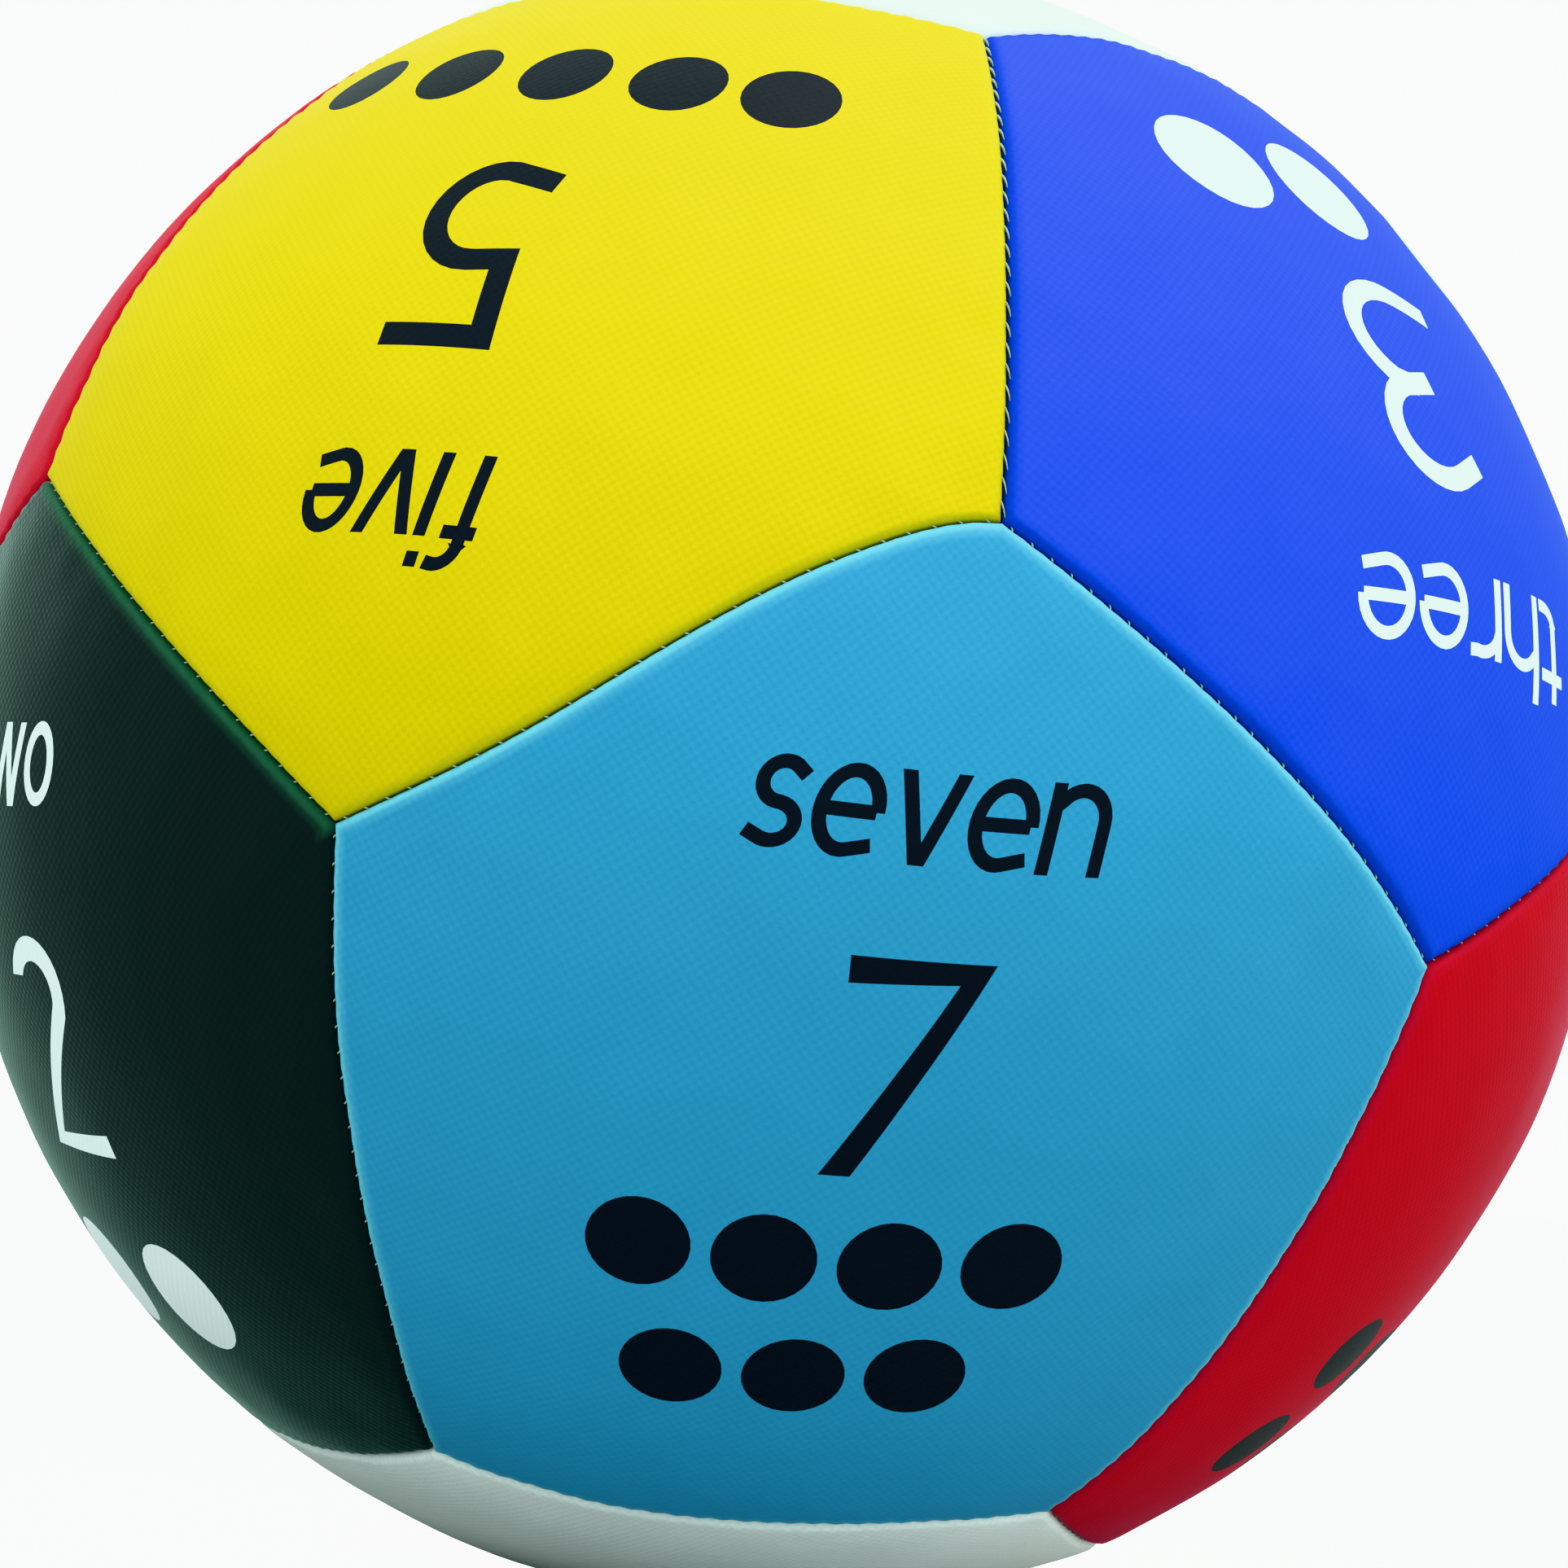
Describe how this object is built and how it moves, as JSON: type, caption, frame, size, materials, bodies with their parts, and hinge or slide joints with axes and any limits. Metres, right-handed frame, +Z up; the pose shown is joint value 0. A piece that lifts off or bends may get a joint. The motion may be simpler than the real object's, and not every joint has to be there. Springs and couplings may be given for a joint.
{
  "type": "soft number ball",
  "caption": "Soft stuffed ball of pentagonal fabric panels sewn edge to edge, each printed with a numeral, its word and counting dots, resting on a small pressed flat.",
  "frame": {"origin": "on the floor under the ball's centre, at the middle of the flat that its weight presses into panel one", "axes": "+Z up through panel twelve; panel seven faces -Y and 26.6 degrees down; panel nine is to its +X side and panel two to its -X side"},
  "size_m": [0.2, 0.1999, 0.1976],
  "materials": {
    "white_cloth": "matte",
    "green_cloth": "matte",
    "blue_cloth": "matte",
    "red_cloth": "matte",
    "yellow_cloth": "matte",
    "cyan_cloth": "matte",
    "thread": "satin",
    "fibre": "matte"
  },
  "bodies": {
    "root": {"closing_thread_6_11": "thread", "fibre_filling": "fibre", "panel_eight_yellow": "yellow_cloth", "panel_eleven_green": "green_cloth", "panel_five_yellow": "yellow_cloth", "panel_four_red": "red_cloth", "panel_nine_red": "red_cloth", "panel_one_white": "white_cloth", "panel_seven_cyan": "cyan_cloth", "panel_six_cyan": "cyan_cloth", "panel_ten_blue": "blue_cloth", "panel_three_blue": "blue_cloth", "panel_twelve_white": "white_cloth", "panel_two_green": "green_cloth", "seam_thread_11_12": "thread", "seam_thread_1_10": "thread", "seam_thread_1_2": "thread", "seam_thread_1_7": "thread", "seam_thread_1_8": "thread", "seam_thread_1_9": "thread", "seam_thread_2_10": "thread", "seam_thread_2_4": "thread", "seam_thread_2_5": "thread", "seam_thread_2_7": "thread", "seam_thread_3_11": "thread", "seam_thread_3_12": "thread", "seam_thread_3_5": "thread", "seam_thread_3_7": "thread", "seam_thread_3_9": "thread", "seam_thread_4_10": "thread", "seam_thread_4_12": "thread", "seam_thread_4_5": "thread", "seam_thread_4_6": "thread", "seam_thread_5_12": "thread", "seam_thread_5_7": "thread", "seam_thread_6_10": "thread", "seam_thread_6_12": "thread", "seam_thread_6_8": "thread", "seam_thread_7_9": "thread", "seam_thread_8_10": "thread", "seam_thread_8_11": "thread", "seam_thread_8_9": "thread", "seam_thread_9_11": "thread"}
  },
  "joints": []
}
